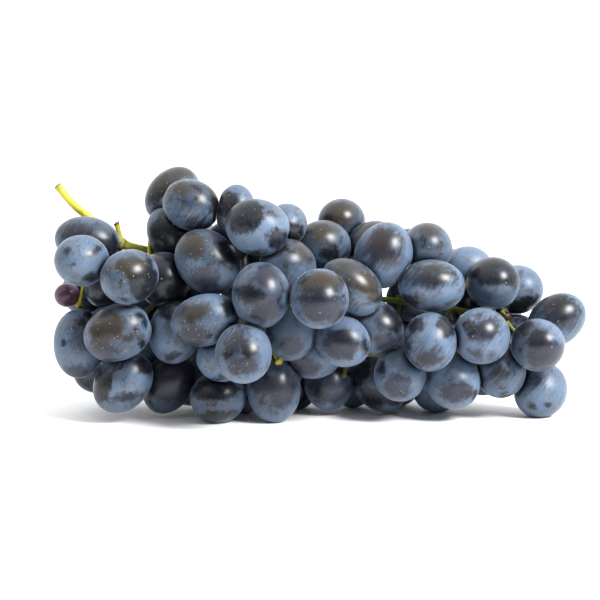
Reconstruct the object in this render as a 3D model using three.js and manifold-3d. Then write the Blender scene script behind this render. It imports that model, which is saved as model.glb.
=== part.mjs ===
// A bunch of dark table grapes lying on its side, in millimetres, +Z up.
// The stalk end points to -X, the tip to +X, and the side seen from the front faces -Y.
// The origin is on the surface that the bunch lies on, under the middle of its box.
import * as THREE from 'three';
import { mergeVertices } from 'three/addons/utils/BufferGeometryUtils.js';
import Module from 'manifold-3d';

const wasm = await Module();
wasm.setup();

// The viewpoint that the berries' places are measured from, level with +Y apart from its elevation
const VIEW_ELEVATION = THREE.MathUtils.degToRad(7);
const VIEW_DISTANCE = 800;
const AIM_HEIGHT = 45.4;

// The berries and how they press on each other
const PRESS = 1.0;
const GAP = 0.34;
const ROUND_TO_OVAL = 1.14;
const SEEN_ALLOWANCE = 1.012;
const HIDDEN_ALLOWANCE = 1.03;
const FLOOR_PRESS = 0.45;
const SETTLE_ROUNDS = 160;
const SIDE_GIVE = 0.1;
const SIDE_LIMIT = 0.6;
const FLOOR_GIVE = 0.15;
const FOREGROUND_DEPTH = -14.5;
const SEEN_DETAIL = 2;
const HIDDEN_DETAIL = 1;
const NECK_RADIUS = 1.5;
const NECK_SIDES = 4;
const SMALLEST_EDGE = 0.12;

// The hidden side: rings of berries round the back of the rachis
const RING_COUNT = 9;
const RING_START = -84;
const RING_STEP = 20.6;
const RING_CENTRE = -2;
const RING_DEPTH = 28;
const RING_END_DEPTH = 19;
const RING_MIDDLE = -15;
const RING_REACH = 100;
const RING_SWEEP = 115;
const RING_SPACING = 18.5;
const CROWDED = 0.68;
const OUTLINE_MARGIN = 0.8;
const HIDDEN_LONG = 12.2;
const HIDDEN_SHORT = 10.4;
const HIDDEN_VARIATION = 0.08;
const RANDOM_SEED = 31;

// The stem framework
const RACHIS_RADIUS = 1.7;
const LATERAL_RADIUS = 1.1;
const PEDICEL_RADIUS = 0.9;
const STUB_RADIUS = 1.2;
const PEDICEL_SIDES = 3;
const LATERAL_SHARE = 0.4;
const STEM_ROOM = 0.8;
const STEM_CHECKS = 40;

// Moves the finished bunch so that its box is centred over the origin
const CENTRING = new THREE.Vector3(-8.3, 8.1, 0);

// Each berry as it is seen: name, across and up from the picture's middle, depth,
// long and short half widths, and the direction of the long one in degrees from the right.
const SEEN_BERRIES = {
  berries_shoulder: [
    ['A', -85.2, 24, -6, 13.2, 9.8, -10],
    ['B', -88, 16, -22, 10.8, 10.2, 0],
    ['E', -78.3, 4, -6, 7.2, 7.5, 0],
    ['D', -67.6, 9.2, -26, 11.6, 10.8, 20],
    ['H0', -87.2, 3.2, 12, 8.8, 8.8, 0],
  ],
  berry_small_red: [
    ['C', -92.7, 2, -4, 5.1, 4.8, 0],
  ],
  berries_lower_left: [
    ['F', -54, 8, -2, 10.8, 10.8, 0],
    ['M15', -50, -11.6, -14, 13.2, 10.4, 80],
    ['L2', -52, -32, -10, 13.6, 10, 60],
    ['L1', -70.4, -32, -24, 13.6, 10.8, 50],
    ['M16', -72.6, -13.6, -30, 14, 11.2, 22],
    ['G', -88.8, -17.6, -16, 14, 10.4, 90],
    ['H1', -76, -13, 2, 9.6, 9.2, 0],
    ['H2', -81, -28, 4, 9.6, 9.2, 0],
  ],
  berries_upper_left: [
    ['T1', -51.2, 41.2, 4, 12.6, 10, 50],
    ['T2', -43, 38, -16, 11.9, 10.2, -25],
    ['T3', -51.2, 26.8, -8, 12, 9.6, -60],
    ['T4', -37.2, 14.6, -36, 14.6, 12.2, -45],
    ['H6', -44, -2, 8, 9.2, 8.8, 0],
  ],
  berries_crown: [
    ['T5', -26.4, 35.2, 4, 10.8, 7.7, 85],
    ['T6', -16.4, 28.6, -28, 13, 11.4, -15],
    ['T7', -4.8, 30, 8, 8.4, 8, 90],
    ['H7', -29, 22, 4, 9.2, 8.8, 0],
  ],
  berries_top_middle: [
    ['T8', 17.2, 31.2, 10, 9.6, 9.2, 0],
    ['T9', 8.8, 22, -14, 11.2, 10.2, -10],
    ['T10', 28.8, 22.8, 2, 10.8, 9.2, 20],
    ['T11', 33.6, 17.2, -18, 13.6, 11.6, 70],
  ],
  berries_top_right: [
    ['T12', 50.4, 21.2, -2, 10, 10, 0],
    ['T13', 43.2, 20.8, 20, 8.4, 8.4, 0],
    ['T22', 52.2, 5.8, -28, 13.6, 10.8, 0],
    ['H4', 44, 0, 16, 9.6, 9.2, 0],
  ],
  berries_right: [
    ['T14', 67.2, 12.8, 0, 10, 8.4, 10],
    ['T15', 61.2, 12, 20, 8, 8, 0],
    ['T16', 76.6, 7, -20, 10.8, 10.6, 0],
    ['T17', 87.6, 4.4, -4, 10.4, 10, 0],
    ['H5', 80, -2, 20, 9.2, 8.8, 0],
  ],
  berries_tip: [
    ['T18', 102.8, -8, -6, 12.4, 10, 35],
    ['T19', 94.8, -18.2, -22, 10.8, 10.6, -10],
    ['T30', 86.8, -15.2, 8, 9.6, 9.6, 0],
    ['T24', 80, -29.2, -14, 10.8, 10.4, 90],
    ['T23', 95.6, -36, -12, 11.4, 10.6, 60],
  ],
  berries_front_centre: [
    ['M1', -5.2, 14, -12, 11.4, 11, 0],
    ['M2', -16.2, 2, -38, 13.2, 11.6, 90],
    ['M3', 8.5, 0.5, -38, 11.9, 11.6, 90],
    ['M5', 20.8, 5.6, -30, 13.6, 10.4, -38],
  ],
  berries_front_left: [
    ['M4', -37.6, -8.6, -30, 14, 10.4, 15],
    ['M14', -31.6, -23.2, -26, 10.4, 9.2, 0],
    ['M6', -23, -20.8, -38, 11.9, 11.2, 90],
    ['M13', -32.8, -38.4, -22, 11.2, 10.4, 0],
  ],
  berries_bottom_centre: [
    ['M9', -3.6, -13.2, -24, 11.2, 10, 90],
    ['M10', 4.8, -22.4, -22, 11.6, 9.4, 10],
    ['M12', -10.2, -35.2, -21, 13.4, 10.6, 90],
    ['M11', 12, -33.2, -12, 11.2, 10, 90],
    ['B1', -0.8, -35.2, 8, 8.4, 8.4, 0],
    ['H3', -13, -17, 2, 9.6, 9.2, 0],
  ],
  berries_lower_middle: [
    ['M8', 16.4, -16.8, -32, 11.2, 10.2, -25],
    ['M7', 30.4, -11.2, -18, 12, 10.8, -30],
    ['T26', 40, -29.2, -22, 10.8, 10.4, 90],
    ['T27', 32, -33.2, -4, 12.4, 10.4, -45],
  ],
  berries_lower_right: [
    ['T21', 51.4, -16.8, -32, 12, 10.8, 85],
    ['T20', 73.2, -14, -30, 11.7, 11.5, 0],
    ['T25', 61.6, -32.8, -18, 11.6, 10.8, 90],
    ['T28', 54.4, -34.4, 3, 10, 10, 0],
    ['T29', 73.2, -30, 10, 8.8, 8.8, 0],
    ['K1', 69, -3.5, 9, 9.4, 9, 0],
  ],
};

// The berries that carry the bunch on the surface
const FLOOR_BERRIES = ['M13', 'M12', 'T23', 'T28', 'B1'];

// The rachis inside the bunch and the bare stalk that leads to it: across, up, depth
const RACHIS_ROUTE = [
  [-71.6, 22.8, 0],
  [-55, 18, 4],
  [-40, 9, 4],
  [0, 2, 0],
  [36, 0, 0],
  [64, -4, -2],
  [82, -8, -2],
];
const STALK_ROUTE = [
  [-97, 45.8, -4],
  [-94, 42, -4],
  [-90, 37.6, -3],
  [-85.6, 34, -1],
  [-78, 28.6, 0],
  [-71.6, 22.8, 0],
];

// The cut stub at the stalk's node, and the pedicels that show between the berries
const STUB = [[-71.6, 22.8, 0], [-73.4, 30.4, 0]];
const SHOWN_PEDICELS = [
  [[-60, 20, 3], [-60, 24, -1], [-60.4, 17, -6]],
  [[-72, 22.8, 0], [-78, 18.5, 4], [-83, 13, 2], [-86.5, 5.6, -8], [-88.4, -2.4, -15]],
];

// The bunch as it is seen: across, lowest and highest
const OUTLINE = [
  [-98, -26, 24],
  [-91, -31, 33],
  [-82, -36, 32],
  [-73, -43, 22],
  [-63, -37, 20],
  [-60, -37, 44],
  [-50, -44, 52],
  [-38, -48, 50],
  [-26, -48, 45],
  [-15, -48, 40],
  [0, -44, 37],
  [5, -44, 31],
  [18, -44, 39],
  [27, -44, 33],
  [52, -44, 31],
  [60, -43, 23],
  [76, -42, 18],
  [90, -43, 12],
  [98, -45, 8],
  [114, -18, -8],
];

const SKIN = { color: 0x2b3246, roughness: 0.45, metalness: 0 };
const RED_SKIN = { color: 0x5c3350, roughness: 0.45, metalness: 0 };
const GREEN = { color: 0x93a52f, roughness: 0.6, metalness: 0 };

// Seeded draws between -1 and 1
let drawState = RANDOM_SEED;
function draw() {
  drawState = (drawState * 16807) % 2147483647;
  return (2 * drawState) / 2147483647 - 1;
}

// A place given as it is seen becomes a point, with the scale of things at its depth
const viewRight = new THREE.Vector3(1, 0, 0);
const viewUp = new THREE.Vector3(0, Math.sin(VIEW_ELEVATION), Math.cos(VIEW_ELEVATION));
const viewBack = new THREE.Vector3(0, -Math.cos(VIEW_ELEVATION), Math.sin(VIEW_ELEVATION));
const viewAim = new THREE.Vector3(0, 0, AIM_HEIGHT);
const viewpoint = viewAim.clone().addScaledVector(viewBack, VIEW_DISTANCE);

function placeSeen(across, up, depth) {
  const onPlane = viewAim.clone().addScaledVector(viewRight, across).addScaledVector(viewUp, up);
  const sight = onPlane.clone().sub(viewpoint);
  const scale = (depth - viewpoint.y) / sight.y;
  return { point: viewpoint.clone().addScaledVector(sight, scale), scale };
}

function pointsSeen(route) {
  return route.map(([across, up, depth]) => placeSeen(across, up, depth).point);
}

const stemRoute = [...pointsSeen(STALK_ROUTE), ...pointsSeen(RACHIS_ROUTE).slice(1)];
const stemSamples = new THREE.CatmullRomCurve3(stemRoute).getPoints(150);
const rachisSamples = new THREE.CatmullRomCurve3(pointsSeen(RACHIS_ROUTE)).getPoints(100);

function nearest(samples, point) {
  let best = samples[0];
  for (const sample of samples) {
    if (sample.distanceToSquared(point) < best.distanceToSquared(point)) {
      best = sample;
    }
  }
  return best;
}

// Where a point is seen, with the scale of things at its depth
function seenPlace(point) {
  const sight = point.clone().sub(viewpoint);
  const scale = -sight.dot(viewBack) / VIEW_DISTANCE;
  return { across: sight.x / scale, up: sight.dot(viewUp) / scale, scale };
}

function outlineAt(across) {
  let i = 1;
  while (i < OUTLINE.length - 1 && across > OUTLINE[i][0]) {
    i++;
  }
  const [x0, low0, high0] = OUTLINE[i - 1];
  const [x1, low1, high1] = OUTLINE[i];
  const share = Math.min(1, Math.max(0, (across - x0) / (x1 - x0)));
  return { low: low0 + (low1 - low0) * share, high: high0 + (high1 - high0) * share };
}

// A berry seen nearly round points its long axis towards the eye
function seenBerry(group, [name, across, up, depth, long, short, direction]) {
  const { point, scale } = placeSeen(across, up, depth);
  const outward = point.clone().sub(nearest(rachisSamples, point));
  const turn = THREE.MathUtils.degToRad(direction);
  const flat = viewRight.clone().multiplyScalar(Math.cos(turn)).addScaledVector(viewUp, Math.sin(turn));
  if (flat.dot(outward) < 0) {
    flat.negate();
  }
  const trueLong = Math.max(long, short * ROUND_TO_OVAL);
  const flatShare = Math.sqrt((long * long - Math.min(long, short) ** 2) / (trueLong ** 2 - short ** 2));
  const lean = Math.acos(Math.min(1, flatShare));
  const towardsEye = outward.y < 6 ? 1 : -1;
  const axis = flat.multiplyScalar(Math.cos(lean)).addScaledVector(viewBack, towardsEye * Math.sin(lean));
  const sight = point.clone().sub(viewpoint).normalize();
  const size = { long: trueLong * scale, short: short * scale };
  const detail = depth <= FOREGROUND_DEPTH ? SEEN_DETAIL : HIDDEN_DETAIL;
  const give = FLOOR_BERRIES.includes(name) ? FLOOR_GIVE : 1;
  return { name, group, centre: point, home: point.clone(), axis, ...size, sight, give, detail };
}

function hiddenBerry(name, group, centre) {
  const outward = centre.clone().sub(nearest(rachisSamples, centre)).normalize();
  const axis = outward.add(new THREE.Vector3(draw(), draw(), draw()).multiplyScalar(0.5)).normalize();
  const size = 1 + HIDDEN_VARIATION * draw();
  const long = HIDDEN_LONG * size;
  const short = HIDDEN_SHORT * size;
  return { name, group, centre, axis, long, short, sight: null, detail: HIDDEN_DETAIL };
}

// Half the berry's width along a direction
function reach(berry, direction) {
  const along = berry.axis.dot(direction);
  return Math.sqrt(berry.short ** 2 + (berry.long ** 2 - berry.short ** 2) * along * along);
}

function gapBetween(one, other) {
  const way = other.centre.clone().sub(one.centre);
  const distance = way.length();
  way.divideScalar(distance);
  return { way, gap: distance - reach(one, way) - reach(other, way) + PRESS };
}

// Odd and even rings are staggered, and a berry that would sit in another one is left out
function ringBerries(seen) {
  const made = [];
  for (let ring = 0; ring < RING_COUNT; ring++) {
    const x = RING_START + RING_STEP * ring;
    const { low, high } = outlineAt(x);
    const top = placeSeen(x, high, RING_CENTRE).point.z;
    const bottom = Math.max(0, placeSeen(x, low, RING_CENTRE).point.z);
    const rise = (top - bottom) / 2 - HIDDEN_SHORT;
    const towardsEnd = Math.min(1, Math.abs(x - RING_MIDDLE) / RING_REACH) ** 2;
    const depth = RING_DEPTH + (RING_END_DEPTH - RING_DEPTH) * towardsEnd;
    const sweep = THREE.MathUtils.degToRad(RING_SWEEP);
    const around = 2 * sweep * Math.hypot(depth, rise) * Math.SQRT1_2;
    const count = Math.max(2, Math.round(around / RING_SPACING));
    for (let k = 0; k < count; k++) {
      const turn = sweep - (2 * sweep * (k + (ring % 2 ? 0.25 : 0.75))) / count;
      const y = RING_CENTRE + depth * Math.cos(turn);
      const z = (top + bottom) / 2 + rise * Math.sin(turn);
      const centre = new THREE.Vector3(x + 2 * draw(), y, z);
      const berry = hiddenBerry(`R${ring + 1}${k}`, `berries_back_${ring + 1}`, centre);
      const inside = (other) => gapBetween(berry, other).gap < -HIDDEN_SHORT * CROWDED;
      if (!seen.some(inside) && !made.some(inside)) {
        made.push(berry);
      }
    }
  }
  return made;
}

// A seen berry gives way along the line of sight, so it stays where it is seen
function push(berry, shift) {
  if (!berry.sight) {
    berry.centre.add(shift);
    return;
  }
  const along = berry.sight.clone().multiplyScalar(shift.dot(berry.sight));
  const aside = shift.clone().sub(along).multiplyScalar(SIDE_GIVE);
  berry.centre.addScaledVector(along, berry.give).add(aside);
  const away = berry.centre.clone().sub(berry.home);
  const sideways = away.addScaledVector(berry.sight, -away.dot(berry.sight));
  const extra = Math.max(0, sideways.length() - SIDE_LIMIT);
  berry.centre.addScaledVector(sideways.normalize(), -extra);
}

// A hidden berry stays inside the bunch's outline
function stayHidden(berry) {
  if (berry.sight) {
    return;
  }
  const { across, up, scale } = seenPlace(berry.centre);
  const half = reach(berry, viewUp) / scale + OUTLINE_MARGIN;
  const spots = [-0.7, 0, 0.7].map((share) => outlineAt(across + share * half));
  const high = Math.min(...spots.map((spot) => spot.high)) - half;
  const low = Math.max(...spots.map((spot) => spot.low)) + half;
  const wanted = high < low ? (high + low) / 2 : Math.min(high, Math.max(low, up));
  const inside = Math.max(across, OUTLINE[0][0] + half);
  berry.centre.x += (inside - across) * scale;
  berry.centre.z += (wanted - up) * scale;
}

// Each berry hangs on the nearest one listed before it in its own node
function holderOf(berry, before) {
  let best = null;
  for (const other of before) {
    if (other.group !== berry.group) {
      continue;
    }
    if (!best || gapBetween(berry, other).gap < gapBetween(berry, best).gap) {
      best = other;
    }
  }
  return best;
}

// A berry keeps clear of the stalk and the rachis
function clearStem(berry) {
  const sample = nearest(stemSamples, berry.centre);
  const way = berry.centre.clone().sub(sample);
  const distance = way.length();
  way.divideScalar(distance);
  const gap = distance - reach(berry, way) - RACHIS_RADIUS - STEM_ROOM;
  if (gap < 0) {
    push(berry, way.multiplyScalar(-gap));
  }
}

function standOnFloor(berry) {
  const low = reach(berry, new THREE.Vector3(0, 0, 1)) - FLOOR_PRESS;
  if (FLOOR_BERRIES.includes(berry.name) || berry.centre.z < low) {
    berry.centre.z = low;
  }
}

function settle(berries) {
  for (let round = 0; round < SETTLE_ROUNDS; round++) {
    berries.forEach((one, i) => {
      for (const other of berries.slice(i + 1)) {
        const { way, gap } = gapBetween(one, other);
        const held = one.holder === other || other.holder === one;
        if (gap < 0 || held) {
          push(one, way.clone().multiplyScalar(gap * 0.4));
          push(other, way.clone().multiplyScalar(-gap * 0.4));
        }
      }
    });
    berries.forEach(clearStem);
    berries.forEach(stayHidden);
    berries.forEach(standOnFloor);
  }
}

function makeBerries() {
  const berries = [];
  for (const [group, rows] of Object.entries(SEEN_BERRIES)) {
    for (const row of rows) {
      berries.push(seenBerry(group, row));
    }
  }
  berries.push(...ringBerries(berries));
  berries.forEach((berry, i) => {
    berry.holder = holderOf(berry, berries.slice(0, i));
  });
  settle(berries);
  return berries;
}

// Meshes become solids and back
function solidOf(geometry) {
  const bare = geometry.clone();
  bare.deleteAttribute('normal');
  bare.deleteAttribute('uv');
  const merged = mergeVertices(bare, 1e-4);
  const vertProperties = new Float32Array(merged.attributes.position.array);
  const triVerts = new Uint32Array(merged.index.array);
  return new wasm.Manifold(new wasm.Mesh({ numProp: 3, vertProperties, triVerts }));
}

function meshOf(name, solid, finish) {
  const { vertProperties, triVerts } = solid.getMesh();
  const geometry = new THREE.BufferGeometry();
  geometry.setAttribute('position', new THREE.BufferAttribute(vertProperties, 3));
  geometry.setIndex(new THREE.BufferAttribute(triVerts, 1));
  geometry.translate(CENTRING.x, CENTRING.y, CENTRING.z);
  geometry.computeVertexNormals();
  const mesh = new THREE.Mesh(geometry, new THREE.MeshStandardMaterial(finish));
  mesh.name = name;
  return mesh;
}

const upright = new THREE.Vector3(0, 1, 0);

// Facets lie inside the round skin, so the corners stand out by as much
function allowance(berry) {
  return berry.detail === SEEN_DETAIL ? SEEN_ALLOWANCE : HIDDEN_ALLOWANCE;
}

// An oval berry, faceted, with its long axis turned to its own direction
function berrySolid(berry, room) {
  const geometry = new THREE.IcosahedronGeometry(1, berry.detail);
  const wide = berry.short * allowance(berry) + room;
  geometry.scale(wide, berry.long * allowance(berry) + room, wide);
  geometry.applyQuaternion(new THREE.Quaternion().setFromUnitVectors(upright, berry.axis));
  geometry.translate(berry.centre.x, berry.centre.y, berry.centre.z);
  return solidOf(geometry);
}

function rod(from, to, fromRadius, toRadius, sides) {
  const way = to.clone().sub(from);
  const geometry = new THREE.CylinderGeometry(toRadius, fromRadius, way.length(), sides);
  geometry.applyQuaternion(new THREE.Quaternion().setFromUnitVectors(upright, way.normalize()));
  const middle = from.clone().lerp(to, 0.5);
  geometry.translate(middle.x, middle.y, middle.z);
  return solidOf(geometry);
}

// Berries of two nodes that press on each other are flattened, with a hair of room between
function trimmedBerry(berry, berries) {
  let solid = berrySolid(berry, 0);
  for (const other of berries) {
    if (other.group === berry.group) {
      continue;
    }
    const way = other.centre.clone().sub(berry.centre);
    const distance = way.length();
    way.divideScalar(distance);
    const mine = reach(berry, way) * allowance(berry);
    const theirs = reach(other, way) * allowance(other);
    const spare = distance - mine - theirs;
    if (spare < GAP) {
      const face = mine + (spare - GAP) / 2;
      const side = way.clone().negate();
      solid = solid.trimByPlane(side.toArray(), side.dot(berry.centre) - face);
    }
  }
  return solid.trimByPlane([0, 0, 1], 0);
}

function berryNode(group, berries) {
  const own = berries.filter((berry) => berry.group === group);
  let solid = null;
  for (const berry of own) {
    const ball = trimmedBerry(berry, berries);
    solid = solid ? solid.add(ball) : ball;
    if (berry.holder) {
      solid = solid.add(rod(berry.centre, berry.holder.centre, NECK_RADIUS, NECK_RADIUS, NECK_SIDES));
    }
  }
  const finish = group === 'berry_small_red' ? RED_SKIN : SKIN;
  return meshOf(group, solid.simplify(SMALLEST_EDGE), finish);
}

// The stem: stalk, rachis, a lateral to each node of berries, a pedicel to each berry
function tube(points, radius, sides, steps) {
  const ring = new THREE.Shape();
  for (let i = 0; i < sides; i++) {
    const turn = (2 * Math.PI * i) / sides;
    ring[i ? 'lineTo' : 'moveTo'](radius * Math.cos(turn), radius * Math.sin(turn));
  }
  const extrudePath = new THREE.CatmullRomCurve3(points);
  return solidOf(new THREE.ExtrudeGeometry(ring, { extrudePath, steps, bevelEnabled: false }));
}

// Whether a straight stalk passes between the berries
function isClear(from, to, radius, berries) {
  for (let i = 0; i <= STEM_CHECKS; i++) {
    const point = from.clone().lerp(to, i / STEM_CHECKS);
    for (const berry of berries) {
      const way = point.clone().sub(berry.centre);
      const distance = way.length();
      const skin = reach(berry, way.divideScalar(distance)) * allowance(berry);
      if (distance < skin + radius + GAP) {
        return false;
      }
    }
  }
  return true;
}

// A pedicel ends just short of its berry
function pedicelEnd(berry) {
  return berry.centre.clone().addScaledVector(berry.axis, -berry.long * allowance(berry) - GAP);
}

function stemNode(berries) {
  const [stubRoot, stubEnd] = pointsSeen(STUB);
  let stem = tube(stemRoute, RACHIS_RADIUS, 8, 26);
  stem = stem.add(rod(stubRoot, stubEnd, STUB_RADIUS, STUB_RADIUS, 6));
  for (const route of SHOWN_PEDICELS) {
    stem = stem.add(tube(pointsSeen(route), PEDICEL_RADIUS, 5, 6));
  }
  for (const group of new Set(berries.map((berry) => berry.group))) {
    const own = berries.filter((berry) => berry.group === group);
    const middle = new THREE.Vector3();
    own.forEach((berry) => middle.addScaledVector(berry.centre, 1 / own.length));
    const root = nearest(rachisSamples, middle);
    let hub = root.clone().lerp(middle, LATERAL_SHARE);
    if (isClear(root, hub, LATERAL_RADIUS, berries)) {
      stem = stem.add(rod(root, hub, LATERAL_RADIUS, LATERAL_RADIUS, PEDICEL_SIDES));
    } else {
      hub = root;
    }
    for (const berry of own) {
      const others = berries.filter((other) => other !== berry);
      const end = pedicelEnd(berry);
      if (isClear(hub, end, PEDICEL_RADIUS, others)) {
        stem = stem.add(rod(hub, end, PEDICEL_RADIUS, PEDICEL_RADIUS, PEDICEL_SIDES));
      }
    }
  }
  for (const berry of berries) {
    const room = berrySolid(berry, GAP);
    if (!stem.intersect(room).isEmpty()) {
      stem = stem.subtract(room);
    }
  }
  // What the berries' room cut loose from the stem is left out
  const bodies = stem.simplify(SMALLEST_EDGE).decompose();
  const [whole] = bodies.sort((a, b) => b.volume() - a.volume());
  return meshOf('stem', whole, GREEN);
}

const berries = makeBerries();
const bunch = new THREE.Group();
bunch.add(stemNode(berries));
for (const group of new Set(berries.map((berry) => berry.group))) {
  bunch.add(berryNode(group, berries));
}

export default bunch;
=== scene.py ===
import math
import random
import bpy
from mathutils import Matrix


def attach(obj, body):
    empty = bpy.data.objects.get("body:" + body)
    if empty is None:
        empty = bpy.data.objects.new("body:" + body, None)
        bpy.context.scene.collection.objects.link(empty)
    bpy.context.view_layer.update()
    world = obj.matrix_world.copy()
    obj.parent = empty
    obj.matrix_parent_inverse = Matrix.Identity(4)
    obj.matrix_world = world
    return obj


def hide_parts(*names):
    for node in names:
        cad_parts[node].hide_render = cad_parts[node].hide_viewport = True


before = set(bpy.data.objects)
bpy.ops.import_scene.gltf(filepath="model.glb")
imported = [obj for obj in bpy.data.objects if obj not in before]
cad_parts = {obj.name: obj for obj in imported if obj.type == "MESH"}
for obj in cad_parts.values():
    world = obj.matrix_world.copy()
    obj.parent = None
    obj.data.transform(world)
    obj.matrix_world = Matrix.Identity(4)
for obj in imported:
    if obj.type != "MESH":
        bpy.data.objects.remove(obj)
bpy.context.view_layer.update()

from types import SimpleNamespace

import bmesh
import bpy
import numpy as np

# Lengths are in millimetres up to to_frame(), which moves a point to the part's frame in metres.

# The viewpoint that the berries' places are measured from
VIEW_ELEVATION = math.radians(7)
VIEW_DISTANCE = 800.0
AIM_HEIGHT = 45.4
CENTRING = np.array([-8.3, 8.1, 0.0])
PICTURE_WIDTH = 240.0
SENSOR_WIDTH = 36.0

# The berries and how they press on each other
PRESS = 1.0
GAP = 0.34
ROUND_TO_OVAL = 1.14
SEEN_ALLOWANCE = 1.012
HIDDEN_ALLOWANCE = 1.03
FLOOR_PRESS = 0.45
SETTLE_ROUNDS = 160
SETTLE_SHARE = 0.4
SIDE_GIVE = 0.1
SIDE_LIMIT = 0.6
FLOOR_GIVE = 0.15
FOREGROUND_DEPTH = -14.5
FAR_BEHIND = 6.0
NEIGHBOUR_REACH = 45.0

# The hidden side: rings of berries round the back of the rachis
RING_COUNT = 9
RING_START = -84.0
RING_STEP = 20.6
RING_CENTRE = -2.0
RING_DEPTH = 28.0
RING_END_DEPTH = 19.0
RING_MIDDLE = -15.0
RING_REACH = 100.0
RING_SWEEP = math.radians(115)
RING_SPACING = 18.5
RING_OFFSETS = (0.75, 0.25)
RING_SHIFT = 2.0
CROWDED = 0.68
OUTLINE_MARGIN = 0.8
OUTLINE_SPOTS = (-0.7, 0, 0.7)
HIDDEN_LONG = 12.2
HIDDEN_SHORT = 10.4
HIDDEN_VARIATION = 0.08
HIDDEN_LEAN = 0.5
RANDOM_SEED = 31
DRAW_FACTOR = 16807
DRAW_RANGE = 2147483647

# The stem framework and the room that the berries leave it
RACHIS_RADIUS = 1.7
LATERAL_RADIUS = 1.1
PEDICEL_RADIUS = 0.9
LATERAL_SHARE = 0.4
STEM_ROOM = 0.8
STEM_CHECKS = 40
STEM_SAMPLES = 150
RACHIS_SAMPLES = 100

# The fine berries
FINE_SUBDIVISIONS = 5
CONTACT_GAP = 0.1
CONTACT_ROUNDING = 0.5
FLOOR_ROUNDING = 0.12
DIMPLE_DEPTH = 0.7
DIMPLE_WIDTH = 0.2
TIP_DEPTH = 0.16
TIP_WIDTH = 0.07
UNEVENNESS = 0.006
WAVES = 4
WAVE_RATE = 1.5
WAVE_PHASE = 6.28
STEEP = 0.9

# The fine stem: radii, and for each swelling or brown place how much it adds and how far it reaches
STALK_RADIUS = 1.5
STALK_WIDENING = 0.2
STALK_CUT = (0.15, 1.2)
STALK_CUT_BROWN = (0.8, 0.5)
NODE_SWELLING = (0.7, 2.2)
NODE_BROWN = (0.6, 0.5)
NODE_BROWN_OFFSET = 1.6
RACHIS_TAPER = 0.45
# Where the rachis starts to darken inside the bunch, and over what length: painted shade
DARK_START = 4.0
DARK_LENGTH = 10.0
STUB_RADIUS = 1.0
STUB_FOOT = (0.6, 2.0)
STUB_CUT = (0.3, 1.0)
STUB_CUT_BROWN = (0.9, 1.0)
STUB_LEAN = (-0.3, 0, 0.4)
PEDICEL_CORE = 0.8
PEDICEL_HEAD = (0.9, 1.1)
PEDICEL_FOOT = (0.3, 1.5)
PEDICEL_BROWN_REACH = 0.8
PEDICEL_SUNK = 0.3
# How dark the hidden pedicels are is painted shade
HIDDEN_PEDICEL_SHADE = 0.95
HIDDEN_PEDICEL_BROWN = 0.8
SHOWN_PEDICEL_BROWN = 0.5
END_DOME = 0.2

# How finely each kind of stem is drawn
STALK_STEPS = 320
STALK_SIDES = 20
STUB_STEPS = 14
STUB_SIDES = 16
PEDICEL_STEPS = 24
LATERAL_STEPS = 12
THIN_SIDES = 12

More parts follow.
